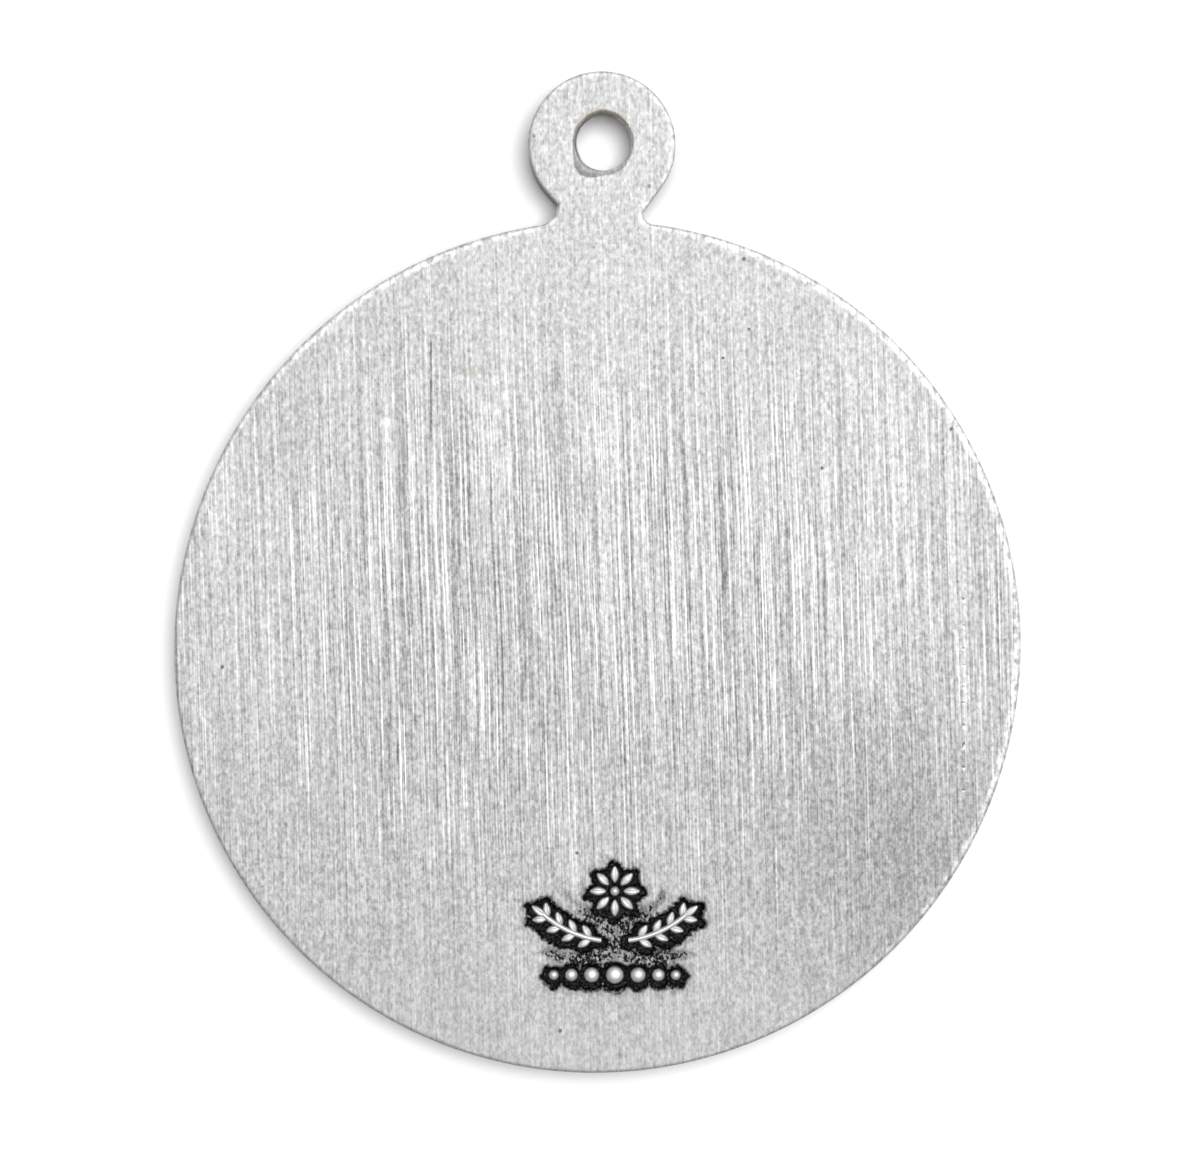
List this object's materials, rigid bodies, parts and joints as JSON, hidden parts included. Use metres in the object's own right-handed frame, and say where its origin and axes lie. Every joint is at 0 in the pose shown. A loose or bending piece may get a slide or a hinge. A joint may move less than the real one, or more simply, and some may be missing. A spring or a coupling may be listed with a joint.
{
  "type": "round silver medal pendant",
  "caption": "Round medal with its own hanging loop, a brushed flat back with a small raised ornament in a blackened pocket, and a plain rimmed front.",
  "frame": {"origin": "middle of the medal's outline, on the surface that it lies on", "axes": "+Z out of the brushed back, the front face down; +Y from the disc towards the loop; +X to the right when the back is looked at with the loop up"},
  "size_m": [0.021, 0.0248, 0.0015],
  "materials": {
    "brushed_silver": "satin, brushed along the length; black oxide in the pocket and the bore"
  },
  "bodies": {
    "root": {"medal": "brushed_silver"}
  },
  "joints": []
}
